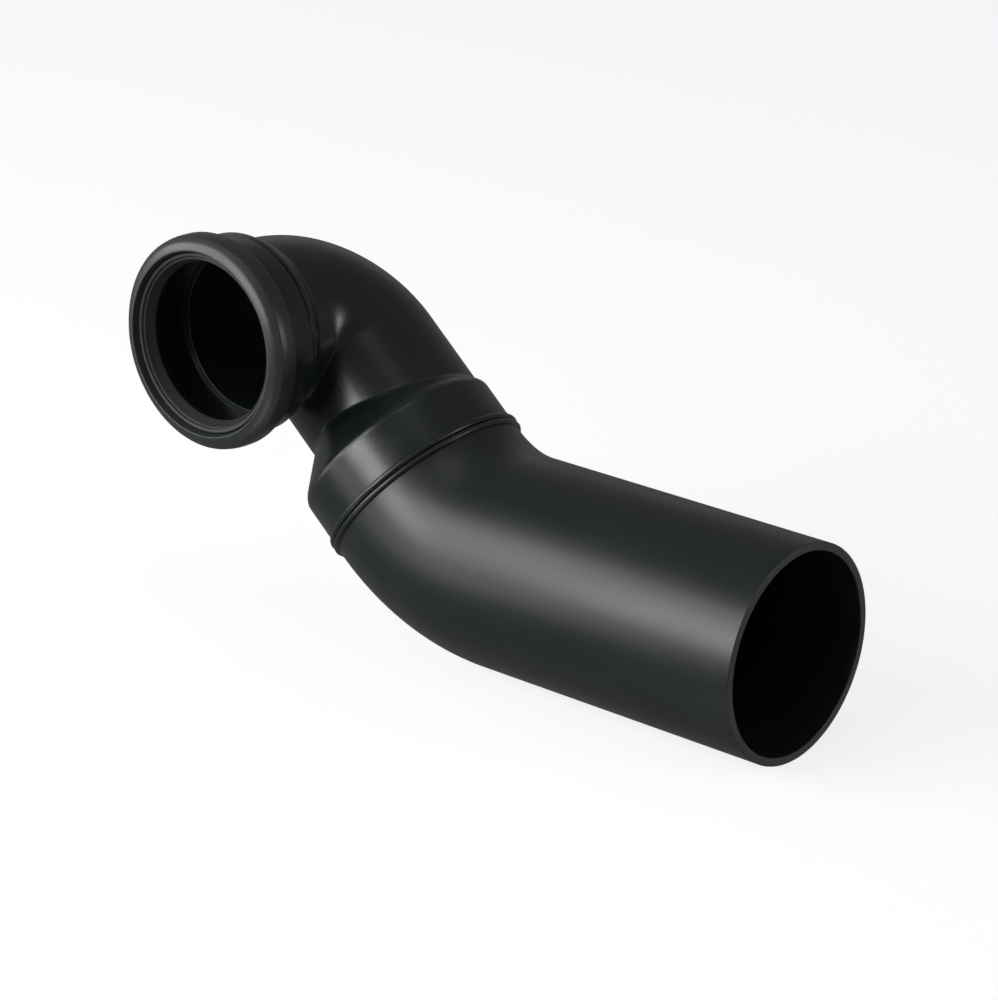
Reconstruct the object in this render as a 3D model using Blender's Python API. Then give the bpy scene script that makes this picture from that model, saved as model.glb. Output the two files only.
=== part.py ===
"""Pan connector in black polyethylene.

A d90 ring-seal socket, a tight 90 degree elbow, an eccentric reducer to d110, a butt weld
and a d110 bend with a long plain spigot.

Frame: metres, +Z up. The origin is the middle of the socket's mouth. The socket opens
towards -Y and the outlet spigot points along +X. The leg between them falls in the XZ plane.
"""
import math

import bmesh
import bpy
from mathutils import Vector

# --- Driving dimensions, in metres ---------------------------------------------------------

SEGMENTS = 48                # sides of every round piece
GAP = 0.0003                 # clearance between pieces that touch

PIPE_90 = 0.0450             # outer radius of the d90 pipe
BORE_90 = 0.0415
PIPE_110 = 0.0550            # outer radius of the d110 pipe
BORE_110 = 0.0507

MOUTH_TO_CORNER = 0.0880     # along the socket's axis, from its mouth to the elbow's corner
CORNER_TO_BEND = 0.1495      # along the leg, from the elbow's corner to the bend's corner
BEND_TO_OUTLET = 0.2060      # along the spigot, from the bend's corner to the cut end
LEG_FALL = math.radians(40)  # how steeply the leg falls, and how much the bend turns
OFFSET_TO_SOCKET = 0.0083    # how far the d110 axis lies from the leg's, towards the socket
OFFSET_DOWN = 0.0022         # and square to the leg, on its lower side

ELBOW_RADIUS = 0.0380        # radius of the elbow's centreline
ELBOW_CREASE = 0.0015        # least radius at its inner crease
BEND_RADIUS = 0.0950         # radius of the d110 bend's centreline

SOCKET_LENGTH = 0.0365       # from the mouth to the joint with the elbow
LEG_JOINT = 0.0615           # along the leg, where the elbow ends and the reducer begins
SHOULDER = 0.0843            # along the leg, where the cone would meet the d110 cylinder
SHOULDER_ROUND = 0.0028      # half length of the shoulder's outer rounding
SHOULDER_FILLET = 0.0020     # half length of the fillet between leg and shoulder
WELD = 0.1112                # along the leg, the middle of the butt weld
WELD_HALF_WEB = 0.0010       # half the thickness of the melted layer between the pipe ends

# --- Frame of the fitting ------------------------------------------------------------------

INLET = Vector((0, 1, 0))
OUTLET = Vector((1, 0, 0))
UP = Vector((0, 0, 1))
LEG = Vector((math.cos(LEG_FALL), 0, -math.sin(LEG_FALL)))
LEG_NORMAL = Vector((math.sin(LEG_FALL), 0, math.cos(LEG_FALL)))

MOUTH = Vector((0, 0, 0))
CORNER = INLET * MOUTH_TO_CORNER
AXIS_OFFSET = -INLET * OFFSET_TO_SOCKET - LEG_NORMAL * OFFSET_DOWN
REDUCER_AXIS = CORNER + AXIS_OFFSET          # a point of the d110 axis, level with the corner
BEND_CORNER = REDUCER_AXIS + LEG * CORNER_TO_BEND
OUTLET_END = BEND_CORNER + OUTLET * BEND_TO_OUTLET

# --- Materials -----------------------------------------------------------------------------


def make_material(name, colour, roughness):
    material = bpy.data.materials.new(name)
    material.use_nodes = True
    shader = material.node_tree.nodes["Principled BSDF"]
    shader.inputs["Base Color"].default_value = (*colour, 1.0)
    shader.inputs["Roughness"].default_value = roughness
    shader.inputs["Metallic"].default_value = 0.0
    return material


POLYETHYLENE = (0.018, 0.020, 0.021)
RUBBER = (0.032, 0.034, 0.035)

# --- Making closed solids from rings of points ---------------------------------------------


def angles():
    return [2 * math.pi * step / SEGMENTS for step in range(SEGMENTS)]


def circle(centre, across, up, radius):
    """One round ring of points."""
    return [centre + (across * math.cos(a) + up * math.sin(a)) * radius for a in angles()]


def skin(name, rings, colour, roughness):
    """A hollow solid: each ring is joined to the next, and the last to the first."""
    mesh = bmesh.new()
    loops = [[mesh.verts.new(point) for point in ring] for ring in rings]
    for here, there in zip(loops, loops[1:] + loops[:1]):
        for step in range(SEGMENTS):
            after = (step + 1) % SEGMENTS
            mesh.faces.new((here[step], here[after], there[after], there[step]))
    bmesh.ops.recalc_face_normals(mesh, faces=mesh.faces)
    data = bpy.data.meshes.new(name)
    mesh.to_mesh(data)
    mesh.free()
    data.shade_smooth()
    data.set_sharp_from_angle(angle=math.radians(32))
    data.materials.append(make_material(name, colour, roughness))
    piece = bpy.data.objects.new(name, data)
    bpy.context.scene.collection.objects.link(piece)
    return piece


def turned(name, centre, axis, across, profile, colour, roughness):
    """A turned piece: profile holds (distance along the axis, radius) points, all round."""
    up = axis.cross(across)
    rings = [circle(centre + axis * along, across, up, radius) for along, radius in profile]
    return skin(name, rings, colour, roughness)


def arc(centre, size, start, end, steps):
    """Profile points on an ellipse about centre, from one angle in degrees to another."""
    turns = [math.radians(start + (end - start) * step / steps) for step in range(steps + 1)]
    return [(centre[0] + size[0] * math.cos(t), centre[1] + size[1] * math.sin(t)) for t in turns]


# --- Socket: retaining ring, lip seal and body ---------------------------------------------

RING_RADIUS = 0.0551         # outside of the retaining ring
RING_LENGTH = 0.0140
RING_LIP = 0.0464            # opening in the ring's front web
RING_WEB = 0.0043            # thickness of that web
BODY_RADIUS = 0.0510         # outside of the socket body
GROOVE = 0.0296              # a narrow groove round the body, in front of its rear rim
GROOVE_RADIUS = 0.0492
RIM_RADIUS = 0.0512          # the rear rim, which dies out smoothly into the elbow
RIM_CREST = 0.0318
RIM_END = 0.0440
RIM_SHORTER = 0.0100         # how much sooner it does so underneath
RIM_LOWER = 0.32             # and how much less proud it is there
RIM_REACH = 0.0200           # how far from the pipe the rim still lifts the wall behind it
BODY_BORE = 0.0460           # where the pushed-in d90 pipe ends up
CHAMBER_RADIUS = 0.0492      # recess that holds the seal's base
CHAMBER_END = 0.0186
PIPE_STOP = 0.0343           # depth of the step that stops the pipe
LIP_RADIUS = 0.0406          # free radius of the sealing lip's edge


def build_retaining_ring():
    inside = BODY_RADIUS + GAP
    bevel = 0.0004
    profile = [(0.0, 0.0478), (0.0, 0.0503), (bevel, 0.0510)]
    profile += [(0.0035, 0.0540), (0.0050, 0.0548), (0.0072, RING_RADIUS)]
    profile += arc((RING_LENGTH - 0.0014, RING_RADIUS - 0.0014), (0.0014, 0.0014), 90, 0, 3)
    profile += [(RING_LENGTH, inside), (RING_WEB, inside), (RING_WEB, RING_LIP)]
    profile += [(0.0036, RING_LIP), (bevel, 0.0473)]
    turned("seal_retaining_ring", MOUTH, INLET, OUTLET, profile, POLYETHYLENE, 0.42)


def build_lip_seal():
    base = CHAMBER_RADIUS - GAP
    nose = RING_LIP - GAP
    front = RING_WEB + GAP
    back = CHAMBER_END - GAP
    thin_ring = [(front, base), (front, nose), (0.0034, nose), (0.0030, 0.0454), (0.0034, 0.0447)]
    groove = [(0.0047, 0.0443), (0.0045, 0.0437)]
    lip = [(0.0042, 0.0431), (0.0066, 0.0420), (0.0098, LIP_RADIUS)]
    underside = [(0.0108, 0.0409), (0.0098, 0.0432), (0.0096, 0.0462)]
    foot = [(back, 0.0464), (back, base)]
    profile = thin_ring + groove + lip + underside + foot
    turned("lip_seal", MOUTH, INLET, OUTLET, profile, RUBBER, 0.60)


def rim_height(along, towards):
    """How far the rim stands above the pipe at a place along the inlet, on one side of it."""
    under = (1 - towards.z) / 2
    end = RIM_END - RIM_SHORTER * under ** 2
    share = min(max((along - RIM_CREST) / (end - RIM_CREST), 0), 1)
    fall = 0.5 + 0.5 * math.cos(math.pi * share)
    return (RIM_RADIUS - PIPE_90) * fall * (1 - RIM_LOWER * under)


def rim_ring(along):
    """A ring of the socket's outside, at the rim or behind it."""
    points = []
    for angle in angles():
        towards = OUTLET * math.cos(angle) - UP * math.sin(angle)
        points.append(MOUTH + INLET * along + towards * (PIPE_90 + rim_height(along, towards)))
    return points


def build_socket_body():
    front = RING_WEB + GAP
    end = SOCKET_LENGTH - GAP / 2
    outside = [(front, BODY_RADIUS), (GROOVE, BODY_RADIUS), (GROOVE + 0.0002, GROOVE_RADIUS)]
    outside += [(GROOVE + 0.0008, GROOVE_RADIUS)]
    inside = [(end, BORE_90), (PIPE_STOP, BORE_90), (PIPE_STOP, BODY_BORE)]
    inside += [(CHAMBER_END, BODY_BORE), (CHAMBER_END, CHAMBER_RADIUS), (front, CHAMBER_RADIUS)]
    rings = [circle(MOUTH + INLET * along, OUTLET, -UP, radius) for along, radius in outside]
    rings += [rim_ring(along) for along in (GROOVE + 0.0010, RIM_CREST, 0.0333, 0.0348, end)]
    rings += [circle(MOUTH + INLET * along, OUTLET, -UP, radius) for along, radius in inside]
    skin("socket_body", rings, POLYETHYLENE, 0.40)


# --- Elbow ---------------------------------------------------------------------------------


def elbow_ring(radius, turn):
    """A ring of the elbow. Each line along the pipe turns on its own radius.

    The lines near the inside would turn the wrong way round, so they keep a small radius
    instead, which makes the crease.
    """
    least = ELBOW_CREASE + PIPE_90 - radius
    outward = INLET * math.sin(turn) - LEG * math.cos(turn)
    points = []
    for angle in angles():
        out = radius * math.cos(angle)
        own = max(ELBOW_RADIUS + out, least)
        centre = CORNER + LEG_NORMAL * (radius * math.sin(angle)) + (INLET - LEG) * (out - own)
        points.append(centre + outward * own)
    return points


def flared(point):
    """A point of the elbow's outer wall, moved out where the tail of the socket's rim is."""
    out = Vector((point.x, 0, point.z))
    beyond = max((out.length - PIPE_90) / RIM_REACH, 0)
    towards = out.normalized()
    return point + towards * rim_height(point.y, towards) * max(1 - beyond, 0)


def elbow_wall(radius):
    """Rings of one wall of the elbow, from the socket to the reducer."""
    steps = 9
    starts = [SOCKET_LENGTH + GAP / 2, 0.0392, 0.0418]
    straight = [circle(MOUTH + INLET * along, -LEG, LEG_NORMAL, radius) for along in starts]
    turns = [elbow_ring(radius, math.pi / 2 * step / steps) for step in range(steps + 1)]
    between = [here.lerp(there, 0.4) for here, there in zip(straight[-1], turns[0])]
    last = circle(CORNER + LEG * (LEG_JOINT - GAP / 2), INLET, LEG_NORMAL, radius)
    return straight + [between] + turns + [last]


def build_elbow():
    outer = [[flared(point) for point in ring] for ring in elbow_wall(PIPE_90)]
    skin("elbow_90", outer + elbow_wall(BORE_90)[::-1], POLYETHYLENE, 0.40)


# --- Eccentric reducer ---------------------------------------------------------------------


def blend_up(a, b, width):
    """The larger of two heights, with a fillet where they cross."""
    near = max(width - abs(a - b), 0) / width
    return max(a, b) + near * near * width / 4


def blend_down(a, b, width):
    """The smaller of two heights, with the edge between them rounded."""
    return -blend_up(-a, -b, width)


def leg_reach(angle, radius):
    """Distance from the d110 axis to the leg's wall, which is round about its own axis."""
    towards = INLET * math.cos(angle) + LEG_NORMAL * math.sin(angle)
    side = -AXIS_OFFSET.dot(towards)
    return side + math.sqrt(radius ** 2 - AXIS_OFFSET.length_squared + side ** 2)


def reducer_ring(along, leg_radius, pipe_radius, shoulder):
    """A ring of the reducer: the leg, then a 45 degree cone, then the d110 cylinder."""
    cone = pipe_radius + along - shoulder
    points = []
    for angle in angles():
        reach = blend_up(leg_reach(angle, leg_radius), cone, SHOULDER_FILLET)
        reach = blend_down(reach, pipe_radius, SHOULDER_ROUND)
        towards = INLET * math.cos(angle) + LEG_NORMAL * math.sin(angle)
        points.append(REDUCER_AXIS + LEG * along + towards * reach)
    return points


def reducer_wall(leg_radius, pipe_radius, shoulder):
    """Rings of one wall of the reducer, closest together on the shoulder."""
    first = LEG_JOINT + GAP / 2
    last = WELD - WELD_HALF_WEB - GAP
    steps = 12
    cone_start = shoulder - 0.0200
    cone_end = shoulder + SHOULDER_ROUND
    places = [cone_start + (cone_end - cone_start) * step / steps for step in range(steps + 1)]
    places = [first] + places + [last]
    return [reducer_ring(along, leg_radius, pipe_radius, shoulder) for along in places]


def build_reducer():
    wall = PIPE_110 - BORE_110
    inner_shoulder = SHOULDER + wall * math.tan(math.radians(22.5))
    outer = reducer_wall(PIPE_90, PIPE_110, SHOULDER)
    inner = reducer_wall(BORE_90, BORE_110, inner_shoulder)
    skin("eccentric_reducer", outer + inner[::-1], POLYETHYLENE, 0.40)


# --- Butt weld -----------------------------------------------------------------------------

CURL_HALF = 0.00178          # from the weld's middle to each outer crest
CURL_HEIGHT = 0.0016         # rise of the outer curls above their foot
INNER_CURL_HALF = 0.0016
INNER_CURL_HEIGHT = 0.0013


def curls(foot, half, height, steps):
    """The two rolled ridges side by side, from the leg's end to the bend's."""
    first = arc((-half, foot), (half, height), 180, 15, steps)
    second = arc((half, foot), (half, height), 165, 0, steps)
    return first + second


def build_weld():
    outer = curls(PIPE_110 + GAP, CURL_HALF, CURL_HEIGHT, 4)
    inner = curls(BORE_110 - GAP, INNER_CURL_HALF, -INNER_CURL_HEIGHT, 3)[::-1]
    web = WELD_HALF_WEB
    down = [(web, PIPE_110 + GAP), (web, BORE_110 - GAP)]
    back_up = [(-web, BORE_110 - GAP), (-web, PIPE_110 + GAP)]
    profile = outer + down + inner + back_up
    turned("weld_bead", REDUCER_AXIS + LEG * WELD, LEG, INLET, profile, POLYETHYLENE, 0.36)


# --- Bend and spigot -----------------------------------------------------------------------


def bend_wall(radius):
    """Rings of one wall of the d110 pipe, from the weld to the cut end."""
    steps = 8
    tangent = BEND_RADIUS * math.tan(LEG_FALL / 2)
    pivot = BEND_CORNER - LEG * tangent + LEG_NORMAL * BEND_RADIUS
    start = REDUCER_AXIS + LEG * (WELD + WELD_HALF_WEB + GAP)
    rings = [circle(start, INLET, LEG_NORMAL, radius)]
    for step in range(steps + 1):
        left = LEG_FALL * (1 - step / steps)
        normal = OUTLET * math.sin(left) + UP * math.cos(left)
        rings.append(circle(pivot - normal * BEND_RADIUS, INLET, normal, radius))
    rings.append(circle(OUTLET_END, INLET, UP, radius))
    return rings


def build_outlet_bend():
    skin("outlet_bend", bend_wall(PIPE_110) + bend_wall(BORE_110)[::-1], POLYETHYLENE, 0.40)


# --- Build ---------------------------------------------------------------------------------


def clear_scene():
    for thing in list(bpy.data.objects):
        bpy.data.objects.remove(thing, do_unlink=True)


def main():
    clear_scene()
    build_retaining_ring()
    build_lip_seal()
    build_socket_body()
    build_elbow()
    build_reducer()
    build_weld()
    build_outlet_bend()


main()
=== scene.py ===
"""Looks of the pan connector: fine turned and swept pieces, their plastics and the studio.

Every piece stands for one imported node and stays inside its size. Metres, +Z up.
"""
import math

import bmesh
import bpy
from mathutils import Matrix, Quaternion, Vector, noise


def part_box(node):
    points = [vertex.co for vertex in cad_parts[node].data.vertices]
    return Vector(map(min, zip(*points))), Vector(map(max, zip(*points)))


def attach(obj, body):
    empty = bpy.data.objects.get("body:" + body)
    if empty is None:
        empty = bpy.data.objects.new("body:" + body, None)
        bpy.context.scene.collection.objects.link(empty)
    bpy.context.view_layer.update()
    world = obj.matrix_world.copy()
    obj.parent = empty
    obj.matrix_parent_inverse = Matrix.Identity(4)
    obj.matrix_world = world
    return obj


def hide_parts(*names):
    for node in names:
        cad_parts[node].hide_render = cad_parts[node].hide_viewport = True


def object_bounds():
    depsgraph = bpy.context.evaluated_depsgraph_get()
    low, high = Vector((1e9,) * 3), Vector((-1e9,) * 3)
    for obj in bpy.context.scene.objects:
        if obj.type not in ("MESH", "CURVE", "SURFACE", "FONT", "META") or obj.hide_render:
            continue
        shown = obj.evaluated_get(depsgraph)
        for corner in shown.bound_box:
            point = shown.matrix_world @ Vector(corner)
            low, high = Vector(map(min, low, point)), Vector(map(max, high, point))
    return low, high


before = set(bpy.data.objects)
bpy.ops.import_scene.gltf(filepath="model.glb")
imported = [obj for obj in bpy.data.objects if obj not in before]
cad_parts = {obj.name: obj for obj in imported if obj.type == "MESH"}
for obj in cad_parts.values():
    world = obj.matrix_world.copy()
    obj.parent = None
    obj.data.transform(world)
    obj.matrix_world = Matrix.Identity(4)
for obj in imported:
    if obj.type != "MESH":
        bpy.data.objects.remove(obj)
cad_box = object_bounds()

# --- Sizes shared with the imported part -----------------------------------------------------

PIPE_90 = 0.0450             # outer radius of the d90 pipe
BORE_90 = 0.0415
PIPE_110 = 0.0550            # outer radius of the d110 pipe
BORE_110 = 0.0507

LEG_FALL = math.radians(40)  # how steeply the leg falls, and how much the bend turns
CORNER_TO_BEND = 0.1495      # along the leg, from the elbow's corner to the bend's
OFFSET_TO_SOCKET = 0.0083    # how far the d110 axis lies from the leg's, towards the socket
OFFSET_DOWN = 0.0022         # and square to the leg, on its lower side
ELBOW_RADIUS = 0.0380        # radius of the elbow's centreline
ELBOW_CREASE = 0.0005        # least radius at its inner crease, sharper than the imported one
CREASE_BLEND = 0.0015        # how softly the elbow turns into that crease
BEND_RADIUS = 0.0950         # radius of the d110 bend's centreline

SHOULDER = 0.0843            # along the leg, where the cone would meet the d110 cylinder
SHOULDER_ROUND = 0.0026      # half length of the shoulder's outer rounding
SHOULDER_FILLET = 0.0018     # half length of the fillet between leg and shoulder
LEG_JOINT = 0.0615           # along the leg, where the elbow ends and the reducer begins
WELD = 0.1112                # along the leg, the middle of the butt weld
WELD_FACE = 0.0010           # half the thickness of the melted layer between the pipe ends

AROUND = 288                 # sides of every round piece

# --- Directions and places, from the frame -------------------------------------------------

INLET = Vector((0, 1, 0))
OUTLET = Vector((1, 0, 0))
UP = Vector((0, 0, 1))
LEG = Vector((math.cos(LEG_FALL), 0, -math.sin(LEG_FALL)))
LEG_NORMAL = Vector((math.sin(LEG_FALL), 0, math.cos(LEG_FALL)))

elbow_high = Vector(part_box("elbow_90")[1])
spigot_high = Vector(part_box("outlet_bend")[1])

MOUTH = Vector((0, 0, 0))
CORNER = INLET * (elbow_high.y - PIPE_90)
AXIS_OFFSET = -INLET * OFFSET_TO_SOCKET - LEG_NORMAL * OFFSET_DOWN
REDUCER_AXIS = CORNER + AXIS_OFFSET
BEND_CORNER = REDUCER_AXIS + LEG * CORNER_TO_BEND
OUTLET_END = Vector((spigot_high.x, BEND_CORNER.y, BEND_CORNER.z))

# --- Meshes --------------------------------------------------------------------------------

SHARP_FROM = math.radians(40)
CUT_FACE_DEPTH = 0.0005      # faces this near the spigot's end and this square to it are sawn
CUT_FACE_SQUARE = 0.9


def around(centre, across, up, radius):
    """A round ring of points. The radius may be a number or a function of the angle."""
    points = []
    for step in range(AROUND):
        angle = 2 * math.pi * step / AROUND
        reach = radius(angle) if callable(radius) else radius
        points.append(centre + (across * math.cos(angle) + up * math.sin(angle)) * reach)
    return points


def skin(name, rings, node, material, end=None):
    """A closed hollow solid from a closed row of rings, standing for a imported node.

    A material given as end goes on the spigot's cut face.
    """
    mesh = bmesh.new()
    loops = [[mesh.verts.new(point) for point in ring] for ring in rings]
    for here, there in zip(loops, loops[1:] + loops[:1]):
        for step in range(AROUND):
            after = (step + 1) % AROUND
            mesh.faces.new((here[step], here[after], there[after], there[step]))
    bmesh.ops.recalc_face_normals(mesh, faces=mesh.faces)
    data = bpy.data.meshes.new(name)
    mesh.to_mesh(data)
    mesh.free()
    data.shade_smooth()
    data.set_sharp_from_angle(angle=SHARP_FROM)
    data.materials.append(material)
    piece = bpy.data.objects.new(name, data)
    bpy.context.scene.collection.objects.link(piece)
    if end:
        data.materials.append(end)
        for face in data.polygons:
            at_end = face.center.x > OUTLET_END.x - CUT_FACE_DEPTH
            face.material_index = int(at_end and face.normal.x > CUT_FACE_SQUARE)
    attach(piece, "root")
    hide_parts(node)
    return piece


def turned(name, centre, axis, across, profile, node, material):
    """A turned solid from (distance along the axis, radius) points."""
    up = axis.cross(across)
    rings = [around(centre + axis * along, across, up, radius) for along, radius in profile]
    return skin(name, rings, node, material)


def arc(centre, size, start, end, steps):
    """Profile points on an ellipse, from one angle in degrees to another."""
    turns = [math.radians(start + (end - start) * step / steps) for step in range(steps + 1)]
    return [(centre[0] + size[0] * math.cos(t), centre[1] + size[1] * math.sin(t)) for t in turns]


def rounded(points, radius, steps=4):
    """A closed profile with its corners rounded. A corner's third number is its own radius."""
    result = []
    count = len(points)
    for index, point in enumerate(points):
        corner = Vector(point[:2])
        before = Vector(points[index - 1][:2]) - corner
        after = Vector(points[(index + 1) % count][:2]) - corner
        wanted = point[2] if len(point) > 2 else radius
        reach = min(wanted, before.length * 0.48, after.length * 0.48)
        start = corner + before.normalized() * reach
        end = corner + after.normalized() * reach
        for step in range(steps + 1):
            share = step / steps
            point = start.lerp(corner, share).lerp(corner.lerp(end, share), share)
            result.append((point.x, point.y))
    return result


def blend_up(a, b, width):
    """The larger of two heights, with a fillet where they cross."""
    near = max(width - abs(a - b), 0) / width
    return max(a, b) + near * near * width / 4


def blend_down(a, b, width):
    return -blend_up(-a, -b, width)


# --- Materials -----------------------------------------------------------------------------

TONE_SCALE = 38              # sizes of the noise, in repeats per metre
GLOSS_SCALE = 60
GRAIN_SCALE = 1400
SPECULAR = 0.5
PLASTIC_IOR = 1.5


def new_material(name, colour, roughness, specular):
    """A Principled material whose uniform values sit on the shader's own sockets."""
    material = bpy.data.materials.new(name)
    material.use_nodes = True
    shader = material.node_tree.nodes["Principled BSDF"]
    shader.inputs["Base Color"].default_value = (*colour, 1.0)
    shader.inputs["Roughness"].default_value = roughness
    shader.inputs["Specular IOR Level"].default_value = specular
    shader.inputs["IOR"].default_value = PLASTIC_IOR
    return material


def add(material, kind, **values):
    node = material.node_tree.nodes.new(kind)
    for key, value in values.items():
        socket = node.inputs.get(key)
        if socket is not None:
            socket.default_value = value
        else:
            setattr(node, key, value)
    return node


def wire(material, output, target):
    material.node_tree.links.new(output, target)


def stretched_place(material, scale):
    """Object coordinates, scaled along each axis."""
    place = add(material, "ShaderNodeTexCoord")
    mapping = add(material, "ShaderNodeMapping")
    mapping.inputs["Scale"].default_value = scale
    wire(material, place.outputs["Object"], mapping.inputs["Vector"])
    return mapping.outputs["Vector"]


def mottle(material, place, scale, detail, low, high):
    """Noise as a number between low and high."""
    grain = add(material, "ShaderNodeTexNoise", Scale=scale, Detail=detail)
    wire(material, place, grain.inputs["Vector"])
    spread = add(material, "ShaderNodeMapRange")
    spread.inputs["From Min"].default_value = 0.3
    spread.inputs["From Max"].default_value = 0.7
    spread.inputs["To Min"].default_value = low
    spread.inputs["To Max"].default_value = high
    wire(material, grain.outputs["Fac"], spread.inputs["Value"])
    return spread.outputs["Result"]


def plastic(name, dark, light, rough_low, rough_high, grain_depth, stretch=(1, 1, 1)):
    """Satin black plastic: uneven tone and gloss, and a fine grain along the way it was drawn."""
    shader_material = new_material(name, dark, rough_low, SPECULAR)
    shader = shader_material.node_tree.nodes["Principled BSDF"]
    still = stretched_place(shader_material, (1, 1, 1))
    drawn = stretched_place(shader_material, stretch)

    tone = mottle(shader_material, still, TONE_SCALE, 4, 0.0, 1.0)
    mix = add(shader_material, "ShaderNodeMix", data_type="RGBA")
    mix.inputs["A"].default_value = (*dark, 1)
    mix.inputs["B"].default_value = (*light, 1)
    wire(shader_material, tone, mix.inputs["Factor"])
    wire(shader_material, mix.outputs["Result"], shader.inputs["Base Color"])

    gloss = mottle(shader_material, drawn, GLOSS_SCALE, 6, rough_low, rough_high)
    wire(shader_material, gloss, shader.inputs["Roughness"])

    skin_grain = add(shader_material, "ShaderNodeTexNoise", Scale=GRAIN_SCALE, Detail=3)
    wire(shader_material, drawn, skin_grain.inputs["Vector"])
    bump = add(shader_material, "ShaderNodeBump", Strength=1.0, Distance=grain_depth)
    wire(shader_material, skin_grain.outputs["Fac"], bump.inputs["Height"])
    wire(shader_material, bump.outputs["Normal"], shader.inputs["Normal"])
    return shader_material


moulded = plastic("moulded_polyethylene", (0.0066, 0.0092, 0.0098), (0.0090, 0.0122, 0.0130),
                  0.25, 0.31, 0.000008)
drawn_pipe = plastic("drawn_polyethylene", (0.0066, 0.0092, 0.0098), (0.0088, 0.0120, 0.0128),
                     0.32, 0.38, 0.000008, (0.25, 1, 1))
melted = plastic("melted_polyethylene", (0.0062, 0.0086, 0.0092), (0.0084, 0.0114, 0.0122),
                 0.28, 0.36, 0.000018)
sawn = plastic("sawn_polyethylene", (0.0420, 0.0445, 0.0470), (0.0570, 0.0600, 0.0630),
               0.50, 0.62, 0.000060)
collar = plastic("collar_polyethylene", (0.0180, 0.0210, 0.0220), (0.0225, 0.0260, 0.0270),
                 0.34, 0.40, 0.000012)
rubber = plastic("seal_rubber", (0.0170, 0.0195, 0.0200), (0.0220, 0.0250, 0.0260),
                 0.52, 0.62, 0.000016)

# --- Socket --------------------------------------------------------------------------------

RING_RADIUS = 0.0551         # outside of the retaining ring
RING_LENGTH = 0.0140
RING_LIP = 0.0464            # opening in the ring's front web
RING_WEB = 0.0043            # thickness of that web
BODY_RADIUS = 0.0510         # outside of the socket body
GROOVE = 0.0296              # the narrow groove in front of the rim
GROOVE_RADIUS = 0.0492
RIM_CREST = 0.0318
RIM_END = 0.0440             # where the rim has died out into the elbow
RIM_SHORTER = 0.0100         # how much sooner it does so underneath
RIM_LOWER = 0.32             # and how much less proud it is there
RIM_REACH = 0.0200           # how far from the pipe the rim still lifts the wall behind it
RIM_RADIUS = 0.0512
RIM_STEPS = 12
BODY_BORE = 0.0460           # where the pushed-in d90 pipe ends up
CHAMBER_RADIUS = 0.0492      # recess that holds the seal's base
CHAMBER_END = 0.0186
PIPE_STOP = 0.0343           # depth of the step that stops the pipe
LIP_RADIUS = 0.0406          # free radius of the sealing lip's edge
SOCKET_LENGTH = 0.0365       # from the mouth to the joint with the elbow
CLEARANCE = 0.0003           # between pieces that touch


def make_retaining_ring():
    inside = BODY_RADIUS + CLEARANCE
    front = [(0.0000, 0.0482), (0.0006, 0.0500), (0.0015, 0.0518)]
    front += [(0.0041, 0.0545, 0.0008), (0.0072, RING_RADIUS)]
    rear = [(RING_LENGTH, RING_RADIUS, 0.0026), (RING_LENGTH, inside, 0.0002)]
    bore = [(RING_WEB, inside, 0.0002), (RING_WEB, RING_LIP, 0.0002)]
    bore += [(0.0036, RING_LIP, 0.0002), (0.0000, 0.0474, 0.0007)]
    profile = rounded(front + rear + bore, 0.0013, 6)
    turned("seal_retaining_ring_fine", MOUTH, INLET, OUTLET, profile,
           "seal_retaining_ring", collar)


def make_lip_seal():
    base = CHAMBER_RADIUS - CLEARANCE
    nose = RING_LIP - CLEARANCE
    front = RING_WEB + CLEARANCE
    back = CHAMBER_END - CLEARANCE
    profile = [(front, base), (front, nose), (0.0034, nose), (0.0029, 0.0456), (0.0030, 0.0443)]
    profile += [(0.0046, 0.0439), (0.0047, 0.0434)]
    profile += [(0.0041, 0.0429), (0.0066, 0.0420), (0.0098, LIP_RADIUS)]
    profile += [(0.0108, 0.0409), (0.0098, 0.0432), (0.0096, 0.0462)]
    profile += [(back, 0.0464), (back, base)]
    turned("lip_seal_fine", MOUTH, INLET, OUTLET, rounded(profile, 0.0007),
           "lip_seal", rubber)


def rim_height(place, towards):
    """How far the rim stands above the pipe. It is lower and dies out sooner underneath."""
    under = (1 - towards.z) / 2
    end = RIM_END - RIM_SHORTER * under ** 2
    share = min(max((place - RIM_CREST) / (end - RIM_CREST), 0), 1)
    fall = 0.5 + 0.5 * math.cos(math.pi * share)
    return (RIM_RADIUS - PIPE_90) * fall * (1 - RIM_LOWER * under)


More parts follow.
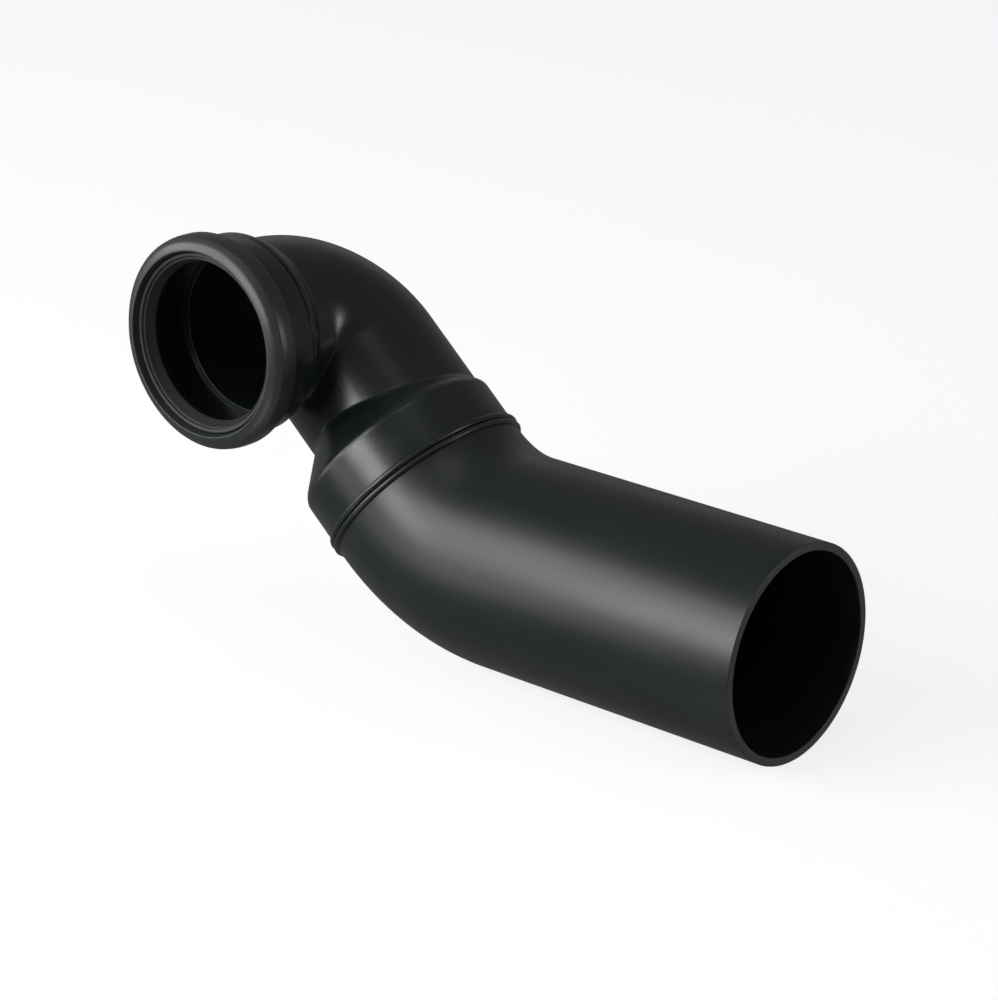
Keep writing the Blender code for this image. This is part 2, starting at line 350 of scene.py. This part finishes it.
def make_socket_body():
    front = RING_WEB + CLEARANCE
    profile = [(front, BODY_RADIUS), (GROOVE, BODY_RADIUS), (GROOVE + 0.0002, GROOVE_RADIUS)]
    profile += [(GROOVE + 0.0008, GROOVE_RADIUS), (GROOVE + 0.0010, RIM_RADIUS, 0.0001)]
    profile += [(RIM_CREST, RIM_RADIUS, 0.0001)]
    for step in range(1, RIM_STEPS + 1):
        place = RIM_CREST + (SOCKET_LENGTH - RIM_CREST) * step / RIM_STEPS
        profile.append((place, RIM_RADIUS, 0.0001))
    profile += [(SOCKET_LENGTH, BORE_90), (PIPE_STOP, BORE_90)]
    profile += [(PIPE_STOP, BODY_BORE), (CHAMBER_END, BODY_BORE)]
    profile += [(CHAMBER_END, CHAMBER_RADIUS), (front, CHAMBER_RADIUS)]
    rings = []
    for along, radius in rounded(profile, 0.0003, 3):
        ring = around(MOUTH + INLET * along, OUTLET, -UP, radius)
        if along > GROOVE + 0.0004 and radius > PIPE_90:
            axis = MOUTH + INLET * along
            share = (radius - PIPE_90) / (RIM_RADIUS - PIPE_90)
            out = [(point - axis).normalized() for point in ring]
            ring = [axis + way * (PIPE_90 + share * rim_height(along, way)) for way in out]
        rings.append(ring)
    skin("socket_body_fine", rings, "socket_body", moulded)


# --- Elbow ---------------------------------------------------------------------------------


ELBOW_STEPS = 60
LEAD_STEPS = 8               # rings on the straight start of the elbow
LEAD_LENGTH = 0.0055
TAIL_STEPS = 6               # and between there and its first turned ring


def elbow_ring(radius, turn):
    """A ring of the elbow. Lines on the inside turn ever tighter, down to a sharp crease."""
    least = ELBOW_CREASE + PIPE_90 - radius
    outward = INLET * math.sin(turn) - LEG * math.cos(turn)
    points = []
    for step in range(AROUND):
        angle = 2 * math.pi * step / AROUND
        out = radius * math.cos(angle)
        own = blend_up(ELBOW_RADIUS + out, least, CREASE_BLEND)
        centre = CORNER + LEG_NORMAL * (radius * math.sin(angle)) + (INLET - LEG) * (out - own)
        points.append(centre + outward * own)
    return points


def flared(point):
    """A point of the elbow's outer wall, moved out where the tail of the socket's rim is."""
    out = Vector((point.x, 0, point.z))
    beyond = max((out.length - PIPE_90) / RIM_REACH, 0)
    towards = out.normalized()
    return point + towards * rim_height(point.y, towards) * max(1 - beyond, 0)


def elbow_wall(radius):
    """Rings of one wall of the elbow, from the socket to the reducer."""
    start = []
    for step in range(LEAD_STEPS + 1):
        place = SOCKET_LENGTH + LEAD_LENGTH * step / LEAD_STEPS
        start.append(around(MOUTH + INLET * place, -LEG, LEG_NORMAL, radius))
    quarter = math.pi / 2
    turns = [elbow_ring(radius, quarter * step / ELBOW_STEPS) for step in range(ELBOW_STEPS + 1)]
    pairs = list(zip(start[-1], turns[0]))
    for step in range(1, TAIL_STEPS):
        start.append([here.lerp(there, step / TAIL_STEPS) for here, there in pairs])
    last = around(CORNER + LEG * LEG_JOINT, INLET, LEG_NORMAL, radius)
    return start + turns + [last]


def make_elbow():
    outer = [[flared(point) for point in ring] for ring in elbow_wall(PIPE_90)]
    rings = outer + elbow_wall(BORE_90)[::-1]
    skin("elbow_90_fine", rings, "elbow_90", moulded)


# --- Eccentric reducer ---------------------------------------------------------------------


def leg_reach(angle, radius):
    """Distance from the d110 axis to the leg's wall, which is round about its own axis."""
    towards = INLET * math.cos(angle) + LEG_NORMAL * math.sin(angle)
    side = -AXIS_OFFSET.dot(towards)
    return side + math.sqrt(radius ** 2 - AXIS_OFFSET.length_squared + side ** 2)


CONE_STEPS = 90
CONE_REACH = 0.0225          # how far in front of the shoulder the rings are close together
CONE_SOFTER = 0.09           # how much less steep the cone is on the side of the socket


def reducer_wall(leg_radius, pipe_radius, shoulder):
    """Rings of one wall: the leg, a 45 degree cone about the d110 axis, then the cylinder."""
    start = shoulder - CONE_REACH
    span = CONE_REACH + SHOULDER_ROUND * 1.1
    places = [LEG_JOINT]
    places += [start + span * step / CONE_STEPS for step in range(1, CONE_STEPS + 1)]
    places.append(WELD - WELD_FACE)
    rings = []
    for along in places:
        back = along - shoulder

        def reach(angle, back=back):
            steep = 1 - CONE_SOFTER * min(math.cos(angle), 0) ** 2
            cone = pipe_radius + back * steep
            length = blend_up(leg_reach(angle, leg_radius), cone, SHOULDER_FILLET)
            return blend_down(length, pipe_radius, SHOULDER_ROUND)

        rings.append(around(REDUCER_AXIS + LEG * along, INLET, LEG_NORMAL, reach))
    return rings


def make_reducer():
    inner_shoulder = SHOULDER + (PIPE_110 - BORE_110) * math.tan(math.radians(22.5))
    outer = reducer_wall(PIPE_90, PIPE_110, SHOULDER)
    inner = reducer_wall(BORE_90, BORE_110, inner_shoulder)
    skin("eccentric_reducer_fine", outer + inner[::-1], "eccentric_reducer",
         moulded)


# --- Butt weld -----------------------------------------------------------------------------

CURL_HALF = 0.00178          # from the weld's middle to each outer crest
CURL_RISE = 0.0019
CURL_NARROWER = 0.88         # width of the second ridge as a share of the first's
INNER_CURL_HALF = 0.0016
INNER_CURL_RISE = 0.0016
WANDER_DEPTH = 0.10          # how much the ridges vary in height, as a share of it
WANDER_SHIFT = 0.00012       # and from side to side


def curls(foot, half, rise, steps):
    """Two rolled ridges side by side, with the notch between them. The second is narrower."""
    narrow = half * CURL_NARROWER
    first = arc((-half, foot), (half, rise), 180, 10, steps)
    second = arc((narrow, foot), (narrow, rise), 170, 0, steps)
    return first + second


def make_weld():
    """The ridges wander a little, as melted plastic does."""
    outer = curls(PIPE_110, CURL_HALF, CURL_RISE, 16)
    inner = curls(BORE_110, INNER_CURL_HALF, -INNER_CURL_RISE, 10)[::-1]
    profile = outer + [(WELD_FACE, PIPE_110), (WELD_FACE, BORE_110)] + inner
    profile += [(-WELD_FACE, BORE_110), (-WELD_FACE, PIPE_110)]
    centre = REDUCER_AXIS + LEG * WELD
    up = LEG.cross(INLET)
    rings = []
    for along, radius in profile:
        proud = abs(radius - PIPE_110) if radius > PIPE_110 else 0.0
        ring = []
        for step in range(AROUND):
            angle = 2 * math.pi * step / AROUND
            place = Vector((math.cos(angle), math.sin(angle), along * 120)) * 4
            wander = noise.noise(place) * WANDER_DEPTH * proud
            sideways = noise.noise(place * 0.6 + Vector((9, 4, 2)))
            shift = sideways * WANDER_SHIFT * (proud > 0)
            reach = radius - abs(wander)
            towards = INLET * math.cos(angle) + up * math.sin(angle)
            ring.append(centre + LEG * (along + shift) + towards * reach)
        rings.append(ring)
    skin("weld_bead_fine", rings, "weld_bead", melted)


# --- Bend and spigot -----------------------------------------------------------------------

CUT_EDGE = 0.0004            # the cut end's broken edges
CUT_EDGE_STEPS = 4
BEND_STEPS = 60


def bend_wall(radius, edge):
    """Rings of one wall of the d110 pipe, from the weld to the cut end."""
    tangent = BEND_RADIUS * math.tan(LEG_FALL / 2)
    pivot = BEND_CORNER - LEG * tangent + LEG_NORMAL * BEND_RADIUS
    rings = [around(REDUCER_AXIS + LEG * (WELD + WELD_FACE), INLET, LEG_NORMAL, radius)]
    for step in range(BEND_STEPS + 1):
        left = LEG_FALL * (1 - step / BEND_STEPS)
        normal = OUTLET * math.sin(left) + UP * math.cos(left)
        rings.append(around(pivot - normal * BEND_RADIUS, INLET, normal, radius))
    for turn in range(CUT_EDGE_STEPS + 1):
        angle = math.pi / 2 * turn / CUT_EDGE_STEPS
        back = CUT_EDGE * (1 - math.sin(angle))
        rings.append(around(OUTLET_END - OUTLET * back, INLET, UP,
                            radius + edge * (1 - math.cos(angle))))
    return rings


def make_outlet_bend():
    rings = bend_wall(PIPE_110, -CUT_EDGE) + bend_wall(BORE_110, CUT_EDGE)[::-1]
    skin("outlet_bend_fine", rings, "outlet_bend", drawn_pipe, sawn)


make_retaining_ring()
make_lip_seal()
make_socket_body()
make_elbow()
make_reducer()
make_weld()
make_outlet_bend()

# --- Studio --------------------------------------------------------------------------------

CAMERA_TARGET = Vector((0.1143, 0.1011, -0.0782))  # near the middle of the part
CAMERA_AZIMUTH = math.radians(39.98)
CAMERA_ELEVATION = math.radians(19.59)
CAMERA_ROLL = math.radians(1.93)
CAMERA_DISTANCE = 1.8237
CAMERA_LENS = 129.3          # in millimetres, as is the sensor
CAMERA_SENSOR = 36

FLOOR_REACH = 8.0            # radius of the flat floor
FLOOR_SIDES = 96
COVE = 6.0                   # radius of its upturned edge
COVE_STEPS = 12
FLOOR_GREY = 0.30
FLOOR_GLOW = 0.80
WORLD_LIGHT = 0.19
LIGHT_DISTANCE = 2.3


def direction(azimuth, elevation):
    """The way from the object to something at that azimuth and elevation."""
    flat = math.cos(elevation)
    return Vector((math.sin(azimuth) * flat, -math.cos(azimuth) * flat, math.sin(elevation)))


def make_camera():
    data = bpy.data.cameras.new("camera")
    data.lens = CAMERA_LENS
    data.sensor_fit = "AUTO"
    data.sensor_width = CAMERA_SENSOR
    camera = bpy.data.objects.new("camera", data)
    bpy.context.scene.collection.objects.link(camera)
    back = direction(CAMERA_AZIMUTH, CAMERA_ELEVATION)
    camera.location = CAMERA_TARGET + back * CAMERA_DISTANCE
    camera.rotation_mode = "QUATERNION"
    camera.rotation_quaternion = back.to_track_quat("Z", "Y") @ Quaternion((0, 0, 1), CAMERA_ROLL)
    bpy.context.scene.camera = camera


def make_backdrop():
    """A round floor whose far edge curves up, so that low views end in it too."""
    low = cad_box[0][2]
    cove = [(FLOOR_REACH * share, 0.0) for share in (0.02, 0.1, 0.4, 1.0)]
    for step in range(1, COVE_STEPS + 1):
        turn = math.pi / 2 * step / COVE_STEPS
        out = FLOOR_REACH + COVE * math.sin(turn)
        cove.append((out, COVE * (1 - math.cos(turn))))
    mesh = bmesh.new()
    loops = []
    for out, rise in cove:
        turns = [2 * math.pi * step / FLOOR_SIDES for step in range(FLOOR_SIDES)]
        ring = [(out * math.cos(t), out * math.sin(t), low + rise) for t in turns]
        loops.append([mesh.verts.new(point) for point in ring])
    mesh.faces.new(loops[0])
    for here, there in zip(loops, loops[1:]):
        for step in range(FLOOR_SIDES):
            after = (step + 1) % FLOOR_SIDES
            mesh.faces.new((here[step], here[after], there[after], there[step]))
    bmesh.ops.recalc_face_normals(mesh, faces=mesh.faces)
    data = bpy.data.meshes.new("floor")
    mesh.to_mesh(data)
    mesh.free()
    data.shade_smooth()
    data.materials.append(floor_material())
    floor = bpy.data.objects.new("floor", data)
    bpy.context.scene.collection.objects.link(floor)
    floor.visible_glossy = False
    floor.visible_diffuse = False
    floor.visible_shadow = False


def floor_material():
    material = new_material("floor_white", (FLOOR_GREY, FLOOR_GREY, FLOOR_GREY), 0.9, 0.0)
    shader = material.node_tree.nodes["Principled BSDF"]
    shader.inputs["Emission Color"].default_value = (1, 1, 1, 1)
    shader.inputs["Emission Strength"].default_value = FLOOR_GLOW
    return material


def soft_box(name, azimuth, elevation, size, power):
    """An area light that faces the object."""
    data = bpy.data.lights.new(name, "AREA")
    data.shape = "RECTANGLE"
    data.size = size[0]
    data.size_y = size[1]
    data.energy = power
    light = bpy.data.objects.new(name, data)
    bpy.context.scene.collection.objects.link(light)
    away = direction(math.radians(azimuth), math.radians(elevation))
    light.location = CAMERA_TARGET + away * LIGHT_DISTANCE
    light.rotation_mode = "QUATERNION"
    light.rotation_quaternion = away.to_track_quat("Z", "Y")


def make_world():
    world = bpy.data.worlds.new("studio")
    world.use_nodes = True
    shade = world.node_tree.nodes["Background"]
    shade.inputs["Color"].default_value = (1.0, 1.0, 1.0, 1)
    shade.inputs["Strength"].default_value = WORLD_LIGHT
    bpy.context.scene.world = world


make_camera()
make_backdrop()
make_world()
soft_box("key", -11, 15, (1.5, 0.75), 28)
soft_box("key_left", -56, 15, (1.5, 0.75), 18)
soft_box("key_upper", -30, 33, (1.6, 0.8), 16)
soft_box("key_lower", -45, -6, (1.9, 0.6), 7)
soft_box("right_edge", 106, 14, (0.6, 0.6), 9)
soft_box("back_edge", -140, 20, (1.6, 0.8), 0.5)
soft_box("top", 20, 75, (1.0, 1.0), 2.4)
soft_box("below", 5, -45, (1.0, 0.8), 5)
bpy.context.scene.view_settings.view_transform = "Standard"
